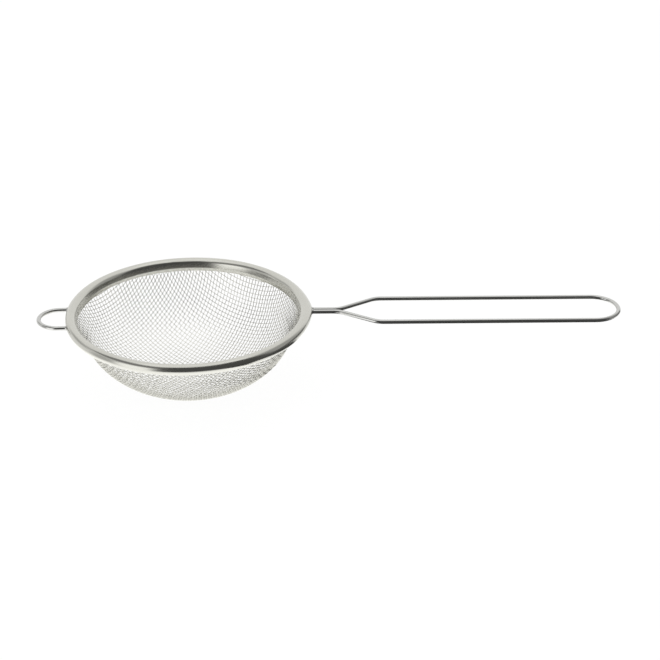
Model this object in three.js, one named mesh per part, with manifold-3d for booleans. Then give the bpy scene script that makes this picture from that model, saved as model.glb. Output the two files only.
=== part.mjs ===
// A kitchen sieve: a bowl of wire mesh held in a rolled sheet-steel rim, with a long wire handle
// on one side and a small wire rest loop on the other.
// Millimetres, +Z up, handle along +X. The origin is the flat spot under the middle of the bowl.
import * as THREE from 'three';
import { mergeVertices } from 'three/addons/utils/BufferGeometryUtils.js';
import Module from 'manifold-3d';

// Driving dimensions of the whole
const RIM_DIAMETER = 120; // outside of the rim
const OVERALL_HEIGHT = 41; // flat spot under the bowl to the top of the rim
const FIT = 0.3; // clearance between pieces that are clamped or welded together

// Rim: one strip of sheet, rolled into a hollow bead with a lip inside it
const RIM_SHEET = 0.5; // thickness of the strip
const BEAD_DIAMETER = 4.9; // outside of the rolled bead
const FOLD_ANGLE = 39; // where the lip leaves the bead, in degrees below the bead's inner side
const ROLL_END_ANGLE = 90; // where the roll ends, in degrees below the bead's outer side
const LIP_WIDTH = 3.25; // fold to the inner edge, measured across
const LIP_DROP = 1.05; // fall of the lip over that width

// Mesh bowl: strands that stand for the woven wires, on a half ellipsoid
const MESH_STRAND = 1; // width and thickness of a strand
const MESH_PITCH = 8.2; // strand to strand, along the surface
const MESH_TURN = 53; // from the handle to the first set of strands, in degrees
const HEM_EXTRA = 0.3; // how much thicker the edge of the mesh is than a strand
const HEM_REACH = 0.4; // how far the edge runs into the bead, past the fold
const HEM_HEIGHT = 3; // how far the edge runs down the bowl
const NET_INSET = 0.4; // where strands end, below the top of the edge
const BOWL_INSET = 0.8; // how far the bowl stands in from the lip

// Wires: the handle and the rest loop, welded to the outside of the rim
const WIRE = 2.2; // wire diameter
const WIRE_DEPTH = 3; // wire centre below the top of the rim
const HANDLE_REACH = 151.8; // rim to the end of the handle, at the wire centre
const HANDLE_WIDTH = 25; // leg to leg, at the wire centres
const HANDLE_DROOP = 1.7; // fall of the handle, in degrees
const NECK_LENGTH = 14; // where the two legs run side by side
const FLARE_LENGTH = 18.6; // where the legs spread
const FLARE_RADIUS = 10; // bends at both ends of the flare
const LOOP_REACH = 13; // rim to the end of the loop, at the wire centre
const LOOP_WIDTH = 19.6; // leg to leg, at the wire centres

// Fineness of the round shapes
const RIM_SEGMENTS = 64;
const BEAD_STEPS = 7; // doubled on the bead
const WIRE_SIDES = 8;
const WIRE_STEP = 4; // length of one straight piece of a bent wire
const LOOP_STEP = 2;
const MERGE_WITHIN = 1e-4; // corners closer than this are one

// Sizes that follow
const { degToRad } = THREE.MathUtils;
const rimRadius = RIM_DIAMETER / 2;
const wireHeight = OVERALL_HEIGHT - WIRE_DEPTH;
const hem = MESH_STRAND + HEM_EXTRA;

// The strip's middle line, as radius and height
const beadCentre = new THREE.Vector2(rimRadius, OVERALL_HEIGHT).subScalar(BEAD_DIAMETER / 2);
const rollRadius = (BEAD_DIAMETER - RIM_SHEET) / 2;
const foldAt = Math.PI + degToRad(FOLD_ANGLE);
const fold = new THREE.Vector2(
  beadCentre.x + rollRadius * Math.cos(foldAt),
  beadCentre.y + rollRadius * Math.sin(foldAt),
);
const lipEnd = fold.clone().sub(new THREE.Vector2(LIP_WIDTH, LIP_DROP));

// The edge of the mesh lies under the lip and ends inside the bead
const outward = new THREE.Vector2(LIP_WIDTH, LIP_DROP).normalize();
const seat = new THREE.Vector2(outward.y, -outward.x)
  .multiplyScalar(RIM_SHEET / 2 + FIT + hem / 2);
const hemEnd = fold.clone().add(seat).addScaledVector(outward, HEM_REACH);
const bowlEdge = lipEnd.clone().add(seat).addScaledVector(outward, -BOWL_INSET);

const steel = {
  rim: new THREE.MeshStandardMaterial({ color: 0xc6c5c1, roughness: 0.32, metalness: 1 }),
  mesh: new THREE.MeshStandardMaterial({ color: 0xd9d9d3, roughness: 0.3, metalness: 1 }),
  wire: new THREE.MeshStandardMaterial({ color: 0xc9c9c7, roughness: 0.15, metalness: 1 }),
};

// A path through corners of the form { at, radius }, with each corner rounded by an arc.
function roundedPath(corners) {
  const path = new THREE.Path();
  path.moveTo(corners[0].at.x, corners[0].at.y);
  for (let i = 1; i < corners.length - 1; i++) {
    const { at, radius } = corners[i];
    const back = corners[i - 1].at.clone().sub(at).normalize();
    const ahead = corners[i + 1].at.clone().sub(at).normalize();
    const half = Math.acos(THREE.MathUtils.clamp(back.dot(ahead), -1, 1)) / 2;
    const centre = back.clone().add(ahead).setLength(radius / Math.sin(half)).add(at);
    const enter = back.clone().multiplyScalar(radius / Math.tan(half)).add(at).sub(centre);
    const leave = ahead.clone().multiplyScalar(radius / Math.tan(half)).add(at).sub(centre);
    const clockwise = enter.cross(leave) < 0;
    if (path.curves.length === 0) path.lineTo(centre.x + enter.x, centre.y + enter.y);
    path.absarc(centre.x, centre.y, radius, enter.angle(), leave.angle(), clockwise);
  }
  const last = corners[corners.length - 1].at;
  path.lineTo(last.x, last.y);
  return path;
}

// The closed outline of a sheet of even thickness along a line of points.
function sheetOutline(points, thickness) {
  const offsets = points.map((point, i) => {
    const before = i > 0 ? point.clone().sub(points[i - 1]).normalize() : null;
    const after = i < points.length - 1 ? points[i + 1].clone().sub(point).normalize() : null;
    const from = before ?? after;
    const to = after ?? before;
    const miter = new THREE.Vector2(-from.y - to.y, from.x + to.x);
    return miter.multiplyScalar(thickness / 2 / (1 + from.dot(to)));
  });
  const right = points.map((point, i) => point.clone().sub(offsets[i]));
  const left = points.map((point, i) => point.clone().add(offsets[i])).reverse();
  return [...right, ...left, right[0].clone()];
}

// An outline of radius and height, turned round the vertical axis.
function lathe(outline) {
  return new THREE.LatheGeometry(outline, RIM_SEGMENTS).rotateX(Math.PI / 2);
}

// Rim
function rimGeometry() {
  const line = new THREE.Path();
  line.moveTo(lipEnd.x, lipEnd.y);
  line.lineTo(fold.x, fold.y);
  line.absarc(beadCentre.x, beadCentre.y, rollRadius, foldAt, -degToRad(ROLL_END_ANGLE), true);
  return lathe(sheetOutline(line.getPoints(BEAD_STEPS), RIM_SHEET));
}

// Mesh bowl
const meridian = new THREE.EllipseCurve(0, bowlEdge.y, bowlEdge.x, bowlEdge.y, -Math.PI / 2, 0);
const meridianLength = meridian.getLength();

// The point over a place of the flat, unpressed mesh, on the inner (-1) or outer (1) side.
function onBowl(place, side) {
  const share = Math.min(place.length() / meridianLength, 1);
  const around = place.angle() + degToRad(MESH_TURN);
  const middle = meridian.getPointAt(share);
  const along = meridian.getTangentAt(share);
  const radius = middle.x + side * along.y * MESH_STRAND / 2;
  const height = middle.y - side * along.x * MESH_STRAND / 2;
  return new THREE.Vector3(
    radius * Math.cos(around),
    radius * Math.sin(around),
    Math.max(height, 0), // the flat spot under the bowl
  );
}

// A block of the net over a flat four-sided outline, with walls along the named edges only.
function netBlock(outline, walls) {
  const inner = outline.map((place) => onBowl(place, -1));
  const outer = outline.map((place) => onBowl(place, 1));
  const faces = [inner, [...outer].reverse()];
  for (const edge of walls) {
    const next = (edge + 1) % outline.length;
    faces.push([outer[edge], outer[next], inner[next], inner[edge]]);
  }
  return faces;
}

// The net: a square crossing at each node, a bar to each neighbour, and bars that run out to the edge.
function netGeometry() {
  const half = MESH_STRAND / 2;
  const boundary = meridianLength - NET_INSET;
  const count = Math.floor(boundary / MESH_PITCH);
  const node = (i, j) => new THREE.Vector2(i * MESH_PITCH, j * MESH_PITCH);
  const isInside = (place) => place.length() < boundary - MESH_STRAND;
  const directions = [[1, 0], [0, 1], [-1, 0], [0, -1]];
  const faces = [];
  for (let i = -count; i <= count; i++) {
    for (let j = -count; j <= count; j++) {
      const place = node(i, j);
      if (!isInside(place)) continue;
      const corners = [[-1, -1], [1, -1], [1, 1], [-1, 1]]
        .map(([x, y]) => place.clone().add(new THREE.Vector2(x * half, y * half)));
      faces.push(...netBlock(corners, []));
      for (const [x, y] of directions) {
        const ahead = new THREE.Vector2(x, y);
        const aside = new THREE.Vector2(-y, x).multiplyScalar(half);
        const joined = isInside(node(i + x, j + y));
        if (joined && (x < 0 || y < 0)) continue;
        const along = place.dot(ahead);
        const toBoundary = Math.sqrt(along ** 2 - place.lengthSq() + boundary ** 2) - along;
        const toNeighbour = MESH_PITCH - half;
        const length = joined ? toNeighbour : Math.min(toBoundary, toNeighbour - FIT);
        const near = place.clone().addScaledVector(ahead, half);
        const far = place.clone().addScaledVector(ahead, length);
        const right = [near, far].map((end) => end.clone().sub(aside));
        const left = [far, near].map((end) => end.clone().add(aside));
        faces.push(...netBlock([...right, ...left], joined ? [0, 2] : [0, 1, 2]));
      }
    }
  }
  const corners = faces.flatMap(([a, b, c, d]) => [a, b, c, a, c, d]);
  return new THREE.BufferGeometry().setFromPoints(corners);
}

// The edge of the mesh: the top of the bowl, then out under the lip into the bead.
function hemGeometry() {
  const start = 1 - HEM_HEIGHT / meridianLength;
  const line = [
    meridian.getPointAt(start),
    meridian.getPointAt((start + 1) / 2),
    bowlEdge,
    hemEnd,
  ];
  return lathe(sheetOutline(line, hem));
}

const wasm = await Module();
wasm.setup();

function toManifold(geometry) {
  geometry.deleteAttribute('normal');
  geometry.deleteAttribute('uv');
  const merged = mergeVertices(geometry, MERGE_WITHIN);
  return new wasm.Manifold(new wasm.Mesh({
    numProp: 3,
    vertProperties: new Float32Array(merged.attributes.position.array),
    triVerts: new Uint32Array(merged.index.array),
  }));
}

function toGeometry(solid) {
  const mesh = solid.getMesh();
  const geometry = new THREE.BufferGeometry();
  geometry.setAttribute('position', new THREE.BufferAttribute(mesh.vertProperties, 3));
  geometry.setIndex(new THREE.BufferAttribute(mesh.triVerts, 1));
  geometry.computeVertexNormals();
  return geometry;
}

function meshBowlGeometry() {
  return toGeometry(toManifold(netGeometry()).add(toManifold(hemGeometry())));
}

// A plane path in space, for sweeping a wire along it.
class FlatCurve extends THREE.Curve {
  constructor(path) {
    super();
    this.path = path;
  }

  getPoint(t, target = new THREE.Vector3()) {
    const point = this.path.getPointAt(t);
    return target.set(point.x, point.y, 0);
  }
}

// A round wire with a flat facet along its underside.
function wireGeometry(path, step) {
  const corner = WIRE / 2 / Math.cos(Math.PI / WIRE_SIDES);
  const section = new THREE.Shape(Array.from({ length: WIRE_SIDES }, (_, i) => {
    const angle = (i + 0.5) * 2 * Math.PI / WIRE_SIDES;
    return new THREE.Vector2(corner * Math.cos(angle), corner * Math.sin(angle));
  }));
  return new THREE.ExtrudeGeometry(section, {
    extrudePath: new FlatCurve(path),
    steps: Math.ceil(path.getLength() / step),
  });
}

// Handle: one wire, out along one leg and back along the other
function handlePath() {
  const neck = (WIRE + FIT) / 2;
  const half = HANDLE_WIDTH / 2;
  const leg = (side) => [
    { at: new THREE.Vector2(0, side * neck) },
    { at: new THREE.Vector2(NECK_LENGTH, side * neck), radius: FLARE_RADIUS },
    { at: new THREE.Vector2(NECK_LENGTH + FLARE_LENGTH, side * half), radius: FLARE_RADIUS },
    { at: new THREE.Vector2(HANDLE_REACH, side * half), radius: half },
  ];
  return roundedPath([...leg(-1), ...leg(1).reverse()]);
}

// Rest loop: a bent wire with both ends on the rim
function loopPath() {
  const half = LOOP_WIDTH / 2;
  const start = -Math.sqrt((rimRadius + FIT) ** 2 - (half - WIRE / 2) ** 2);
  const end = -rimRadius - LOOP_REACH;
  return roundedPath([
    { at: new THREE.Vector2(start, half) },
    { at: new THREE.Vector2(end, half), radius: half },
    { at: new THREE.Vector2(end, -half), radius: half },
    { at: new THREE.Vector2(start, -half) },
  ]);
}

function piece(name, geometry, material) {
  const mesh = new THREE.Mesh(geometry, material);
  mesh.name = name;
  return mesh;
}

const sieve = new THREE.Group();
sieve.add(piece('rim', rimGeometry(), steel.rim));
sieve.add(piece('mesh_bowl', meshBowlGeometry(), steel.mesh));

const handle = piece('handle', wireGeometry(handlePath(), WIRE_STEP), steel.wire);
handle.position.set(rimRadius + FIT, 0, wireHeight);
handle.rotation.y = degToRad(HANDLE_DROOP);
sieve.add(handle);

const loop = piece('rest_loop', wireGeometry(loopPath(), LOOP_STEP), steel.wire);
loop.position.z = wireHeight;
sieve.add(loop);

export default sieve;
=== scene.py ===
"""A wire-mesh kitchen sieve: woven bowl, rolled sheet rim, long wire handle and small rest loop.

Metres, +Z up, handle along +X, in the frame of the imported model.
"""

import math

import bmesh
import bpy
import numpy as np
from mathutils import Matrix, Vector


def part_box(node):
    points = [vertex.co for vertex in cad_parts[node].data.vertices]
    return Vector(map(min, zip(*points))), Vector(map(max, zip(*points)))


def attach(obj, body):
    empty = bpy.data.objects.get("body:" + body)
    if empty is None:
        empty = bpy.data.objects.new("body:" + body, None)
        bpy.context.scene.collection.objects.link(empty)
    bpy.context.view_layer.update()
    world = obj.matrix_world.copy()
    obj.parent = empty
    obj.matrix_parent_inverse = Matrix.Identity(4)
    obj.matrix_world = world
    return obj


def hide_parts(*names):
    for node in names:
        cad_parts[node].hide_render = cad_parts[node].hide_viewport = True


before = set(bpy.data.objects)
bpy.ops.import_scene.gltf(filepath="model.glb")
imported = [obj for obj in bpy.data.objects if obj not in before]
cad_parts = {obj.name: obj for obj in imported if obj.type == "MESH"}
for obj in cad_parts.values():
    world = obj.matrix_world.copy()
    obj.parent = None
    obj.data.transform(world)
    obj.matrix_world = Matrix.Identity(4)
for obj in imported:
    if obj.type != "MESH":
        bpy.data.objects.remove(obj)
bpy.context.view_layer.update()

MM = 0.001
UP = (0.0, 0.0, 1.0)
WHITE = (1, 1, 1, 1)

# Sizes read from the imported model
rim_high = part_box("rim")[1]
handle_low, handle_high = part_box("handle")
loop_low, loop_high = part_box("rest_loop")
RIM_RADIUS = rim_high.x
RIM_TOP = rim_high.z
WIRE = loop_high.z - loop_low.z
WIRE_HEIGHT = (loop_high.z + loop_low.z) / 2
HANDLE_WIDTH = handle_high.y - handle_low.y - WIRE
HANDLE_TIP = handle_high.x - WIRE / 2
LOOP_WIDTH = loop_high.y - loop_low.y - WIRE
LOOP_TIP = loop_low.x + WIRE / 2

# Rim: one strip of sheet, rolled into a bead with a lip inside it; places from the middle of the bead
BEAD_RADIUS = 2.75 * MM
BEAD_START = math.radians(164)
BEAD_END = math.radians(-105)
BEAD_STEP = math.radians(5)
LIP_EDGE = (-2.95 * MM, -2.9 * MM)
LIP_BEND = (-3.19 * MM, -1.15 * MM)
LIP_BEND_RADIUS = 0.5 * MM
LIMB_END = (-2.25 * MM, -3.05 * MM)
LIMB_END_RADIUS = 0.2 * MM
RIM_STEPS = 360

# Unevenness of the rim: drawn out by the handle, and slightly wavy; a wave is its count, share and phase
RIM_PULL = 1.0 * MM
RIM_PULL_WIDTH = math.radians(12)
RIM_PULL_POWER = 1.5
WAVE_HEIGHT = 0.03 * MM
WAVES = ((3, 1.0, 0.6), (5, 0.7, 2.1), (9, 0.5, 4.0))

# Mesh: plain weave, draped over a half ellipsoid without stretching; heights from the middle of the bead
WARP, WEFT = 0, 1
WARP_PITCH = 2.06 * MM
WEFT_PITCH = 1.753 * MM
MESH_WIRE = 0.31 * MM
MESH_SIDES = 5
MESH_TURN = math.radians(52.9)
MESH_TOP_HEIGHT = -2.85 * MM
MESH_FLARE_HEIGHT = -11.0 * MM
MESH_FLARE = 2.65 * MM
MESH_FLARE_POWER = 1.4
BOWL_RADIUS = 51.95 * MM
BOWL_EDGE_HEIGHT = -2.2 * MM
BOWL_LEAN = 0.95 * MM

# Fineness of the mesh: how far its middle wires run, rounds for each crossing, and points of a wire
MIDDLE_WIRE_REACH = 0.58 * math.pi
CROSSING_ROUNDS = 6
STEPS_PER_CROSSING = 4
FEWEST_POINTS = 3

# Wires: the handle and the rest loop; a round end is a little short of a half circle, to part its corners
HANDLE_DROOP = math.radians(1.7)
NECK_LENGTH = 14 * MM
FLARE_LENGTH = 18.6 * MM
FLARE_RADIUS = 10 * MM
ROUND_END = 0.9999
WIRE_SIDES = 28

# Welds: each starts inside the rim, at a share of its reach, and covers the wire
WELD_REACH = 0.7 * MM
WELD_ROOT = -0.35
WELD_SPREAD = 0.25 * MM
WELD_POWER = 2.2
WELD_COVER = 0.01 * MM
WELD_STEPS = 12

# Fineness of all shapes
ARC_STEP = math.radians(7)
SHARP_ANGLE = math.radians(40)
SHORTEST_STEP = 0.01 * MM

# Steel: fine marks and broad clouds, counted in a metre, and round the rim in a radian
MARK_DETAIL = 3.0
MARK_RANGE = (0.3, 0.7)
MARK_DEPTH = 0.02 * MM
EVEN_MARKS = 1500.0
RIM_MARKS_ACROSS = 2200.0
RIM_MARKS_ROUND = 3.0
CLOUDS = 70.0
CLOUD_DETAIL = 2.0

# Camera, fitted to the rim and the handle in the photograph
VIEW_ELEVATION = math.radians(27.55)
VIEW_TURN = math.radians(-2.29)
VIEW_ROLL = math.radians(-0.92)
VIEW_DISTANCE = 1370.6 * MM
AIM_RIGHT = 69.55 * MM
AIM_DOWN = 7.62 * MM
FOCAL_LENGTH = 152.7

# Floor and sky: the floor's reach in metres, its tone and its glow, and the sky as light and as seen
FLOOR_REACH = 4.0
FLOOR_TONE = 0.2
FLOOR_GLOW = 0.86
SKY_LIGHT = 0.8
SKY_SEEN = 1.0

# Studio walls: glow, bearings from the camera's side to the right, elevations and softness in degrees
DOME_RADIUS = 0.6
DOME_DETAIL = 5
WALL_GLOW = 1.0
PANELS = (
    (1.5, (-200, 200), (-100, -31), 8),  # light from below
    (1.2, (-200, 200), (64, 78), 6),  # bright ring overhead
    (0.25, (-110, -26), (30, 62), 8),  # dark screen, high on the left
    (0.55, (-134, -100), (8, 30), 7),  # grey strip, behind on the left
    (0.58, (-92, -64), (-20, 25), 6),  # grey strip on the left
    (1.45, (-64, -32), (-30, 24), 6),  # bright window, in front on the left
    (0.45, (70, 120), (5, 52), 12),  # grey screen on the right
    (0.09, (-30, 76), (-19, 69), 7),  # dark room on the camera's side
    (0.12, (60, 123), (-12, 8), 5),  # dark strip, low on the right
)

# Cards: name, glow, reach along X and Y, and height, in metres
CARDS = (
    ("handle_card", 0.07, (0.056, 0.25), (-0.2, 0.004), 0.001),
    ("bowl_card", 1.3, (0.044, 0.06), (-0.062, -0.014), 0.02),
)


# Shapes

def unit(vectors):
    """Vectors brought to a length of 1."""
    return vectors / np.linalg.norm(vectors, axis=-1, keepdims=True)


def corner_arc(before, corner, after):
    """Points of the arc that rounds a corner of a flat path; corners are (x, y, radius)."""
    at, radius = np.array(corner[:2]), corner[2]
    back = unit(np.array(before[:2]) - at)
    ahead = unit(np.array(after[:2]) - at)
    half = math.acos(np.clip(back @ ahead, -1, 1)) / 2
    centre = at + unit(back + ahead) * radius / math.sin(half)
    first = at + back * radius / math.tan(half) - centre
    sweep = math.pi - 2 * half
    if first[0] * back[1] - first[1] * back[0] > 0:
        sweep = -sweep
    turn = np.linspace(0, sweep, math.ceil(abs(sweep) / ARC_STEP) + 1)
    cos, sin = np.cos(turn), np.sin(turn)
    return centre + np.column_stack([first[0] * cos - first[1] * sin, first[0] * sin + first[1] * cos])


def rounded(corners):
    """Points of a flat path from the first to the last of its corners, with the others rounded."""
    arcs = [corner_arc(*three) for three in zip(corners, corners[1:], corners[2:])]
    points = np.concatenate([[corners[0][:2]], *arcs, [corners[-1][:2]]])
    steps = np.linalg.norm(np.diff(points, axis=0), axis=1)
    return points[np.append(True, steps > SHORTEST_STEP)]


def tube(points, up, radius, sides):
    """Vertices and faces of a wire along points; up is one direction, or one for each point."""
    along = unit(np.gradient(points, axis=0))
    across = unit(np.cross(along, up))
    above = np.cross(across, along)
    turn = np.linspace(0, 2 * math.pi, sides, endpoint=False)[:, None]
    radius = np.broadcast_to(radius, len(points))[:, None, None]
    ring = radius * (np.cos(turn) * above[:, None] + np.sin(turn) * across[:, None])
    index = np.arange(len(points) * sides).reshape(-1, sides)
    ahead = np.roll(index, -1, axis=1)
    quads = np.stack([index[:-1], ahead[:-1], ahead[1:], index[1:]], -1).reshape(-1, 4)
    caps = [index[0, ::-1].tolist(), index[-1].tolist()]
    return (points[:, None] + ring).reshape(-1, 3), quads.tolist() + caps


def lathe(outline, steps):
    """Vertices and faces of a closed outline of (radius, height), turned round the vertical axis."""
    turn = np.linspace(0, 2 * math.pi, steps, endpoint=False)[:, None]
    radius, height = outline[:, 0], outline[:, 1]
    points = np.stack([radius * np.cos(turn), radius * np.sin(turn), np.tile(height, (steps, 1))], -1)
    index = np.arange(steps * len(outline)).reshape(steps, -1)
    ahead = np.roll(index, -1, axis=0)
    quads = [index, ahead, np.roll(ahead, -1, axis=1), np.roll(index, -1, axis=1)]
    return points.reshape(-1, 3), np.stack(quads, -1).reshape(-1, 4).tolist()


def new_object(name, data):
    """An object with the given data, put into the scene."""
    made = bpy.data.objects.new(name, data)
    bpy.context.scene.collection.objects.link(made)
    return made


def piece(name, shapes, material, slot, *nodes):
    """One smooth mesh made of several shapes, standing for CAD nodes."""
    vertices, faces, count = [], [], 0
    for points, shape_faces in shapes:
        vertices.append(points)
        faces.extend([[i + count for i in face] for face in shape_faces])
        count += len(points)
    mesh = bpy.data.meshes.new(name)
    mesh.from_pydata(np.concatenate(vertices).tolist(), [], faces)
    mesh.shade_smooth()
    mesh.set_sharp_from_angle(angle=SHARP_ANGLE)
    mesh.materials.append(material)
    made = new_object(name, mesh)
    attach(made, "root")
    if nodes:
        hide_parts(*nodes)


# Rim

BEAD = np.array([RIM_RADIUS - BEAD_RADIUS, RIM_TOP - BEAD_RADIUS])


def rim_outline():
    """The closed outline of the rim as (radius, height): lip, bead and lower limb."""
    lip_middle = (np.array(LIP_EDGE) + LIP_BEND) / 2
    angles = np.arange(BEAD_START, BEAD_END, -BEAD_STEP)
    bead = BEAD_RADIUS * np.column_stack([np.cos(angles), np.sin(angles)])
    inside = rounded([
        (*lip_middle, 0),
        (*LIP_BEND, LIP_BEND_RADIUS),
        (*bead[0], 0),
    ])
    below = rounded([
        (*bead[-1], 0),
        (*LIMB_END, LIMB_END_RADIUS),
        (*LIP_EDGE, 0),
    ])
    return BEAD + np.concatenate([inside[:-1], bead, below[1:]])


def rim_pull(radius, angle):
    """How far the handle has drawn the rim out: most on the outside of the bead, nothing on its inside."""
    from_inside = radius - (RIM_RADIUS - 2 * BEAD_RADIUS)
    share = np.clip(from_inside / (2 * BEAD_RADIUS), 0, 1)
    return RIM_PULL * share * np.exp(-np.abs(angle / RIM_PULL_WIDTH) ** RIM_PULL_POWER)


def rim_shape():
    """The turned outline, made uneven."""
    points, faces = lathe(rim_outline()[::-1], RIM_STEPS)
    radius = np.hypot(points[:, 0], points[:, 1])
    angle = np.arctan2(points[:, 1], points[:, 0])
    pull = rim_pull(radius, angle)
    wave = sum(share * np.sin(count * angle + phase) for count, share, phase in WAVES)
    points += np.column_stack([pull * np.cos(angle), pull * np.sin(angle), WAVE_HEIGHT * wave])
    return points, faces


# Woven bowl

BOWL_EDGE = BEAD[1] + BOWL_EDGE_HEIGHT
BOWL_DEPTH = BOWL_EDGE - MESH_WIRE
BOWL_AXES = np.array([BOWL_RADIUS, BOWL_RADIUS, BOWL_DEPTH])
BOWL_CENTRE = np.array([0, 0, BOWL_EDGE])
MESH_TOP = BEAD[1] + MESH_TOP_HEIGHT
MESH_FLARE_START = BEAD[1] + MESH_FLARE_HEIGHT


def bowl_normals(points):
    """Directions out of the bowl."""
    return unit((points - BOWL_CENTRE) / BOWL_AXES ** 2)


def settled(points):
    """Points of the mesh, spread at the top to meet the rim and shifted towards the handle lower down."""
    x, y, z = points.T
    rise = np.clip((z - MESH_FLARE_START) / (MESH_TOP - MESH_FLARE_START), 0, 1) ** MESH_FLARE_POWER
    spread = 1 + MESH_FLARE * rise / np.maximum(np.hypot(x, y), SHORTEST_STEP)
    lean = BOWL_LEAN * (BOWL_EDGE - z) / BOWL_DEPTH
    return np.column_stack([x * spread + lean, y * spread, z])


def length_per_tilt(tilt):
    """Length along the bowl's profile for each radian of tilt from the lowest point."""
    return math.hypot(BOWL_RADIUS * math.cos(tilt), BOWL_DEPTH * math.sin(tilt))


def middle_wire(bearing, pitch):
    """Crossings along the wire that runs from the lowest point of the bowl in one direction."""
    tilt, crossings = 0.0, []
    while tilt < MIDDLE_WIRE_REACH:
        out = BOWL_RADIUS * math.sin(tilt)
        height = BOWL_EDGE - BOWL_DEPTH * math.cos(tilt)
        crossings.append(np.array([out * math.cos(bearing), out * math.sin(bearing), height]))
        halfway = tilt + 0.5 * pitch / length_per_tilt(tilt)
        tilt += pitch / length_per_tilt(halfway)
    return crossings


def crossing(beside, beside_pitch, below, below_pitch, start):
    """The point of the bowl at one pitch from each of two neighbours, found by closer and closer steps."""
    point = start
    for _ in range(CROSSING_ROUNDS):
        from_beside = point - beside
        from_below = point - below
        on_bowl = (point - BOWL_CENTRE) / BOWL_AXES
        errors = np.array([
            from_beside @ from_beside - beside_pitch ** 2,
            from_below @ from_below - below_pitch ** 2,
            (on_bowl @ on_bowl - 1) * MM ** 2,
        ])
        slopes = 2 * np.array([from_beside, from_below, on_bowl / BOWL_AXES * MM ** 2])
        point = point - np.linalg.solve(slopes, errors)
    return point


def drape_quarter(net, u, v):
    """Adds the crossings of a quarter of the bowl to the net; u and v are the signs of their counts."""
    u_wire = middle_wire(MESH_TURN + (math.pi if u < 0 else 0), WARP_PITCH)
    v_wire = middle_wire(MESH_TURN + math.pi / 2 * v, WEFT_PITCH)
    net.update({(u * i, 0): point for i, point in enumerate(u_wire)})
    net.update({(0, v * j): point for j, point in enumerate(v_wire)})
    for i in range(1, len(u_wire)):
        for j in range(1, len(v_wire)):
            beside = net.get((u * (i - 1), v * j))
            below = net.get((u * i, v * (j - 1)))
            if beside is None or below is None or min(beside[2], below[2]) > MESH_TOP:
                continue
            start = beside + below - net[u * (i - 1), v * (j - 1)]
            net[u * i, v * j] = crossing(beside, WARP_PITCH, below, WEFT_PITCH, start)


def draped_net():
    """Crossings of the woven wires by their two counts from the lowest point of the bowl."""
    net = {}
    for u in (1, -1):
        for v in (1, -1):
            drape_quarter(net, u, v)
    return net


def smooth_curve(knots, at):
    """A smooth curve through knots, read at places that count in knots."""
    padded = np.concatenate([2 * knots[:1] - knots[1:2], knots, 2 * knots[-1:] - knots[-2:-1]])
    index = np.minimum(at.astype(int), len(knots) - 2)
    t = (at - index)[:, None]
    p0, p1, p2, p3 = (padded[index + k] for k in range(4))
    bend = 2 * p0 - 5 * p1 + 4 * p2 - p3
    twist = 3 * p1 - p0 - 3 * p2 + p3
    return 0.5 * (2 * p1 + (p2 - p0) * t + bend * t ** 2 + twist * t ** 3)


def woven_wire(crossings, first):
    """A wire outside and inside its crossings in turn, cut at the top; first is 1 for outside, or -1."""
    at = np.arange((len(crossings) - 1) * STEPS_PER_CROSSING + 1) / STEPS_PER_CROSSING
    points = smooth_curve(np.array(crossings), at)
    normals = bowl_normals(points)
    points = points + normals * (first * MESH_WIRE / 2 * np.cos(math.pi * at))[:, None]
    inside = np.flatnonzero(points[:, 2] <= MESH_TOP)
    if len(inside) < FEWEST_POINTS:
        return None
    keep = slice(inside[0], inside[-1] + 1)
    return tube(settled(points[keep]), normals[keep], MESH_WIRE / 2, MESH_SIDES)


def woven_shapes(net, family):
    """All wires of one family: WARP runs with the first count of the net, WEFT with the second."""
    rows = {}
    for key in net:
        rows.setdefault(key[1 - family], []).append(key)
    wires = []
    for row, keys in rows.items():
        if len(keys) < FEWEST_POINTS:
            continue
        keys.sort(key=lambda k: k[family])
        first = 1 if (row + keys[0][family] + family) % 2 else -1
        wires.append(woven_wire([net[key] for key in keys], first))
    return [wire for wire in wires if wire]


# Handle, rest loop and welds

LOOP_ROOT = -math.sqrt(RIM_RADIUS ** 2 - (LOOP_WIDTH / 2) ** 2)


def handle_shape():
    """One wire bent into a long loop, tipped down from the rim."""
    half = HANDLE_WIDTH / 2
    tip = (HANDLE_TIP - RIM_RADIUS) / math.cos(HANDLE_DROOP)

    def leg(side):
        return [
            (0, side * WIRE / 2, 0),
            (NECK_LENGTH, side * WIRE / 2, FLARE_RADIUS),
            (NECK_LENGTH + FLARE_LENGTH, side * half, FLARE_RADIUS),
            (tip, side * half, half * ROUND_END),
        ]

    root = Vector((RIM_RADIUS, 0, WIRE_HEIGHT))
    droop = Matrix.Rotation(HANDLE_DROOP, 3, "Y")
    path = rounded(leg(-1) + leg(1)[::-1])
    points = np.array([root + droop @ Vector((x, y, 0)) for x, y in path])
    return tube(points, droop @ Vector(UP), WIRE / 2, WIRE_SIDES)


def loop_shape():
    """One short wire bent into a U."""
    half = LOOP_WIDTH / 2
    start = LOOP_ROOT + WIRE / 2
    path = rounded([
        (start, half, 0),
        (LOOP_TIP, half, half * ROUND_END),
        (LOOP_TIP, -half, half * ROUND_END),
        (start, -half, 0),
    ])
    points = np.column_stack([path, np.full(len(path), WIRE_HEIGHT)])
    return tube(points, UP, WIRE / 2, WIRE_SIDES)


def weld(foot, direction):
    """A small fillet round the end of a wire, from inside the rim's wall out along the wire."""
    reach = np.linspace(WELD_ROOT, 1, WELD_STEPS)
    swell = WELD_SPREAD * (1 - np.clip(reach, 0, 1)) ** WELD_POWER
    points = np.array(foot) + np.outer(reach * WELD_REACH, direction)
    return tube(points, UP, WIRE / 2 + swell + WELD_COVER, WIRE_SIDES)


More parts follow.
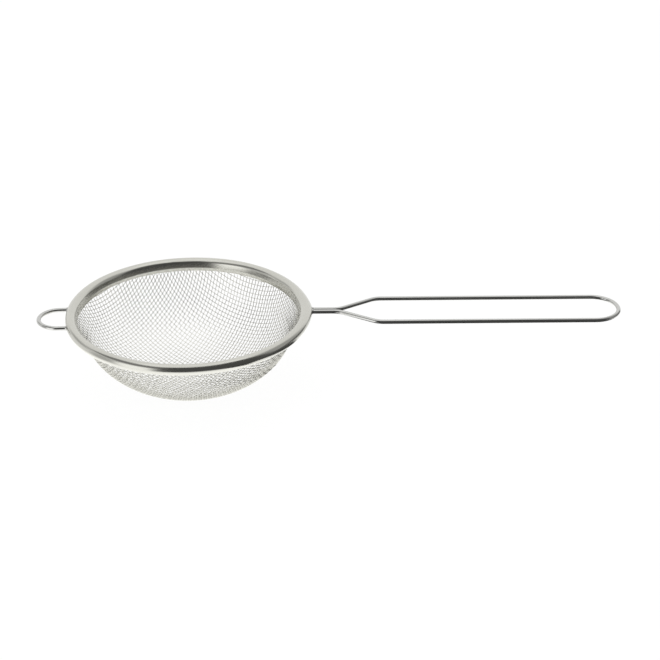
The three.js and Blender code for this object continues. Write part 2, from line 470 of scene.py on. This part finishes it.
def weld_shapes():
    """A fillet at each end of the handle and of the rest loop."""
    out = math.cos(HANDLE_DROOP), 0, -math.sin(HANDLE_DROOP)
    handle_feet = [(RIM_RADIUS + RIM_PULL, side * WIRE / 2, WIRE_HEIGHT) for side in (-1, 1)]
    loop_feet = [(LOOP_ROOT, side * LOOP_WIDTH / 2, WIRE_HEIGHT) for side in (-1, 1)]
    return [weld(foot, out) for foot in handle_feet] + [weld(foot, (-1, 0, 0)) for foot in loop_feet]


# Materials

class Nodes:
    """Shorthand for building a node tree."""

    def __init__(self, owner):
        owner.use_nodes = True
        self.tree = owner.node_tree
        self.tree.nodes.clear()

    def add(self, kind, inputs=(), **settings):
        """A new node; each of its inputs is a value, or the socket that it comes from."""
        made = self.tree.nodes.new(kind)
        for name, value in settings.items():
            setattr(made, name, value)
        for socket, value in dict(inputs).items():
            if isinstance(value, bpy.types.NodeSocket):
                self.tree.links.new(value, made.inputs[socket])
            else:
                made.inputs[socket].default_value = value
        return made

    def math(self, operation, *values):
        return self.add("ShaderNodeMath", enumerate(values), operation=operation).outputs[0]

    def mix_numbers(self, share, first, second):
        """A Mix node's sockets go by their numbers, because their names repeat."""
        return self.add("ShaderNodeMix", {0: share, 2: first, 3: second}).outputs[0]

    def mix_colours(self, share, first, second):
        return self.add("ShaderNodeMix", {0: share, 6: first, 7: second}, data_type="RGBA").outputs[2]

    def white_glow(self, strength):
        return self.add("ShaderNodeEmission", {"Color": WHITE, "Strength": strength}).outputs[0]

    def finish_material(self, shader):
        self.add("ShaderNodeOutputMaterial", {"Surface": shader})


def steel(name, colour, tint, roughness, bump, lines):
    """Stainless steel: lines gives the coordinate that its fine drawn or rolled marks follow."""
    material = bpy.data.materials.new(name)
    nodes = Nodes(material)
    place = nodes.add("ShaderNodeTexCoord").outputs["Object"]
    marks = nodes.add("ShaderNodeTexNoise", {
        "Vector": lines(nodes, place), "Scale": 1.0, "Detail": MARK_DETAIL}).outputs["Fac"]
    cloud = nodes.add("ShaderNodeTexNoise", {
        "Vector": place, "Scale": CLOUDS, "Detail": CLOUD_DETAIL}).outputs["Fac"]
    rough = nodes.add("ShaderNodeMapRange", {
        "Value": marks, "From Min": MARK_RANGE[0], "From Max": MARK_RANGE[1],
        "To Min": roughness[0], "To Max": roughness[1]}).outputs[0]
    relief = nodes.add("ShaderNodeBump", {
        "Height": marks, "Strength": bump, "Distance": MARK_DEPTH}).outputs[0]
    shader = nodes.add("ShaderNodeBsdfPrincipled", {
        "Base Color": nodes.mix_colours(cloud, (*colour, 1), (*tint, 1)), "Metallic": 1.0,
        "Roughness": rough, "Normal": relief}).outputs[0]
    nodes.finish_material(shader)
    return material


def round_the_rim(nodes, place):
    """Marks that run round the vertical axis."""
    flat = nodes.add("ShaderNodeVectorMath", {0: place, 1: (1, 1, 0)}, operation="MULTIPLY").outputs[0]
    radius = nodes.add("ShaderNodeVectorMath", {0: flat}, operation="LENGTH").outputs["Value"]
    parts = nodes.add("ShaderNodeSeparateXYZ", {0: place}).outputs
    angle = nodes.math("ARCTAN2", parts["Y"], parts["X"])
    return nodes.add("ShaderNodeCombineXYZ", {
        "X": nodes.math("MULTIPLY", radius, RIM_MARKS_ACROSS),
        "Y": nodes.math("MULTIPLY", parts["Z"], RIM_MARKS_ACROSS),
        "Z": nodes.math("MULTIPLY", angle, RIM_MARKS_ROUND)}).outputs[0]


def all_over(nodes, place):
    """Fine even marks."""
    counts = (EVEN_MARKS, EVEN_MARKS, EVEN_MARKS)
    return nodes.add("ShaderNodeVectorMath", {0: place, 1: counts}, operation="MULTIPLY").outputs[0]


rim_steel = steel(
    "rim_steel",
    colour=(0.615, 0.61, 0.56),
    tint=(0.565, 0.56, 0.515),
    roughness=(0.16, 0.26),
    bump=0.2,
    lines=round_the_rim,
)
wire_steel = steel(
    "wire_steel",
    colour=(0.58, 0.58, 0.56),
    tint=(0.53, 0.53, 0.512),
    roughness=(0.1, 0.16),
    bump=0.03,
    lines=all_over,
)
mesh_steel = steel(
    "mesh_steel",
    colour=(0.65, 0.645, 0.595),
    tint=(0.59, 0.585, 0.54),
    roughness=(0.2, 0.32),
    bump=0.03,
    lines=all_over,
)


# Pieces

net = draped_net()
piece("mesh_warp", woven_shapes(net, WARP), mesh_steel, "mesh_steel", "mesh_bowl")
piece("mesh_weft", woven_shapes(net, WEFT), mesh_steel, "mesh_steel", "mesh_bowl")
piece("rolled_rim", [rim_shape()], rim_steel, "rim_steel", "rim")
piece("handle_wire", [handle_shape()], wire_steel, "wire_steel", "handle")
piece("loop_wire", [loop_shape()], wire_steel, "wire_steel", "rest_loop")
piece("weld_beads", weld_shapes(), wire_steel, "wire_steel")


# Stage

def seen_ray(nodes):
    """1 for rays that look at the background, straight or by way of metal or glass."""
    path = nodes.add("ShaderNodeLightPath").outputs
    direct = nodes.math("MAXIMUM", path["Is Camera Ray"], path["Is Glossy Ray"])
    return nodes.math("MAXIMUM", direct, path["Is Transmission Ray"])


def level_sheet(name, along_x, along_y, height):
    """A mesh of one level face."""
    (left, right), (near, far) = along_x, along_y
    corners = [(x, y, height) for x, y in ((left, near), (right, near), (right, far), (left, far))]
    mesh = bpy.data.meshes.new(name)
    mesh.from_pydata(corners, [], [(0, 1, 2, 3)])
    return mesh


def floor_material():
    """A matt floor that catches the shadow and looks nearly white."""
    material = bpy.data.materials.new("floor_white")
    nodes = Nodes(material)
    matt = nodes.add("ShaderNodeBsdfDiffuse", {"Color": (FLOOR_TONE, FLOOR_TONE, FLOOR_TONE, 1)})
    glow = nodes.white_glow(nodes.math("MULTIPLY", seen_ray(nodes), FLOOR_GLOW))
    both = nodes.add("ShaderNodeAddShader", {0: matt.outputs[0], 1: glow})
    nodes.finish_material(both.outputs[0])
    return material


def soft_edge(nodes, value, edge, softness, rising):
    """0 on one side of an edge and 1 on the other."""
    ends = {"From Min": edge - softness, "From Max": edge + softness,
            "To Min": 0.0 if rising else 1.0, "To Max": 1.0 if rising else 0.0}
    made = nodes.add("ShaderNodeMapRange", {"Value": value, **ends}, interpolation_type="SMOOTHSTEP")
    return made.outputs[0]


def studio_walls():
    """The glow of the surroundings by bearing, from the camera's side to the right, and by elevation."""
    material = bpy.data.materials.new("studio_walls")
    nodes = Nodes(material)
    place = nodes.add("ShaderNodeTexCoord").outputs["Object"]
    parts = nodes.add("ShaderNodeSeparateXYZ", {0: place}).outputs
    ahead = nodes.math("MULTIPLY", parts["Y"], -1.0)
    bearing = nodes.math("DEGREES", nodes.math("ARCTAN2", parts["X"], ahead))
    rise = nodes.math("DIVIDE", parts["Z"], DOME_RADIUS)
    elevation = nodes.math("DEGREES", nodes.math("ARCSINE", rise))
    strength = WALL_GLOW
    for glow, bearings, elevations, softness in PANELS:
        mask = 1.0
        for value, (low, high) in ((bearing, bearings), (elevation, elevations)):
            mask = nodes.math("MULTIPLY", mask, soft_edge(nodes, value, low, softness, True))
            mask = nodes.math("MULTIPLY", mask, soft_edge(nodes, value, high, softness, False))
        strength = nodes.mix_numbers(mask, strength, glow)
    nodes.finish_material(nodes.white_glow(strength))
    return material


def card_material(name, strength):
    """An even glow."""
    material = bpy.data.materials.new(name)
    nodes = Nodes(material)
    nodes.finish_material(nodes.white_glow(strength))
    return material


def reflected_only(name, mesh, material):
    """A stage object that only polished metal sees."""
    mesh.materials.append(material)
    made = new_object(name, mesh)
    made.visible_camera = False
    made.visible_diffuse = False
    made.visible_shadow = False
    made.visible_transmission = False
    return made


def make_dome():
    """A sphere round the rim with the studio's walls on it."""
    mesh = bpy.data.meshes.new("dome")
    shape = bmesh.new()
    bmesh.ops.create_icosphere(shape, subdivisions=DOME_DETAIL, radius=DOME_RADIUS)
    shape.to_mesh(mesh)
    shape.free()
    reflected_only("dome", mesh, studio_walls()).location = (0, 0, RIM_TOP)


def make_card(name, glow, along_x, along_y, height):
    """A level card that shades or lights what polished metal shows."""
    mesh = level_sheet(name, along_x, along_y, height)
    reflected_only(name, mesh, card_material(name, glow))


def make_floor():
    """The floor, which metal doesn't show: it shows the dome's light from below instead."""
    span = (-FLOOR_REACH, FLOOR_REACH)
    mesh = level_sheet("floor", span, span, 0)
    mesh.materials.append(floor_material())
    floor = new_object("floor", mesh)
    floor.visible_glossy = False


def make_world():
    """A white sky, a little weaker as light than as it is seen."""
    world = bpy.data.worlds.new("studio")
    bpy.context.scene.world = world
    nodes = Nodes(world)
    strength = nodes.add("ShaderNodeMapRange", {
        "Value": seen_ray(nodes), "To Min": SKY_LIGHT, "To Max": SKY_SEEN})
    sky = nodes.add("ShaderNodeBackground", {"Color": WHITE, "Strength": strength.outputs[0]})
    nodes.add("ShaderNodeOutputWorld", {"Surface": sky.outputs[0]})


def make_camera():
    """The camera, aimed beside and below the middle of the rim."""
    lens = bpy.data.cameras.new("camera")
    lens.lens = FOCAL_LENGTH
    camera = new_object("camera", lens)
    turn = (Matrix.Rotation(VIEW_TURN, 3, "Z") @ Matrix.Rotation(math.pi / 2 - VIEW_ELEVATION, 3, "X")
            @ Matrix.Rotation(VIEW_ROLL, 3, "Z"))
    right, up, back = (turn.col[i] for i in range(3))
    rim_centre = Vector((0, 0, BEAD[1]))
    place = rim_centre + right * AIM_RIGHT - up * AIM_DOWN + back * VIEW_DISTANCE
    camera.matrix_world = Matrix.Translation(place) @ turn.to_4x4()
    bpy.context.scene.camera = camera


make_camera()
make_floor()
make_world()
make_dome()
for card in CARDS:
    make_card(*card)

bpy.context.scene.view_settings.view_transform = "Standard"
